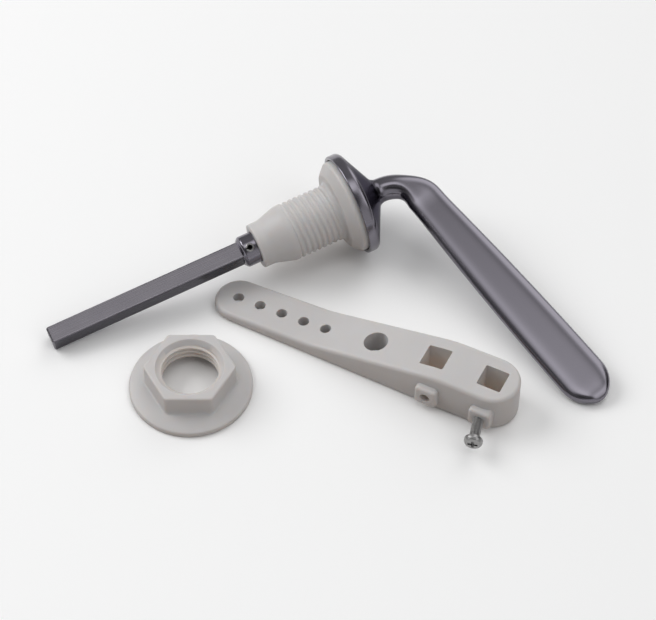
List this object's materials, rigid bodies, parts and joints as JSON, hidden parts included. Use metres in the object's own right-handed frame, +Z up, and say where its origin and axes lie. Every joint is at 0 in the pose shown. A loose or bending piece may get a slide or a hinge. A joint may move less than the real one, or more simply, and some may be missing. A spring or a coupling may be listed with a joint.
{
  "type": "cistern lever",
  "caption": "Cistern lever set: chromed blade lever turning in a white threaded bush on a square spindle bar, with its back nut and a linkage arm with square sockets laid beside it.",
  "frame": {"origin": "centre of the set's plan box, on the floor that it lies on", "axes": "+Z up; +X to the right along the set's longest side, as the picture looks at it"},
  "size_m": [0.1879, 0.11, 0.036],
  "materials": {
    "chrome_plate": "bright chrome plate on a cast body",
    "plated_steel": "drawn bar, satin nickel plate",
    "dark_steel": "plain steel",
    "white_plastic": "moulded, satin"
  },
  "bodies": {
    "bush_and_loose_pieces": {"threaded_bush": "white_plastic", "back_nut": "white_plastic", "lever_arm": "white_plastic"},
    "lever": {"lever_handle": "chrome_plate", "spindle_bar": "plated_steel", "roll_pin": "dark_steel"},
    "screw": {"clamp_screw": "dark_steel"}
  },
  "joints": [
    {"name": "lever_turn", "type": "hinge", "parent": "bush_and_loose_pieces", "child": "lever", "pos_m": [-0.01074, 0.02918, 0.01525], "axis": [-0.8974, -0.4223, -0.1279], "continuous": true},
    {"name": "screw_drive", "type": "slide", "parent": "bush_and_loose_pieces", "child": "screw", "axis": [0.225, 0.9744, 0], "range_m": [0, 0.00693]}
  ]
}
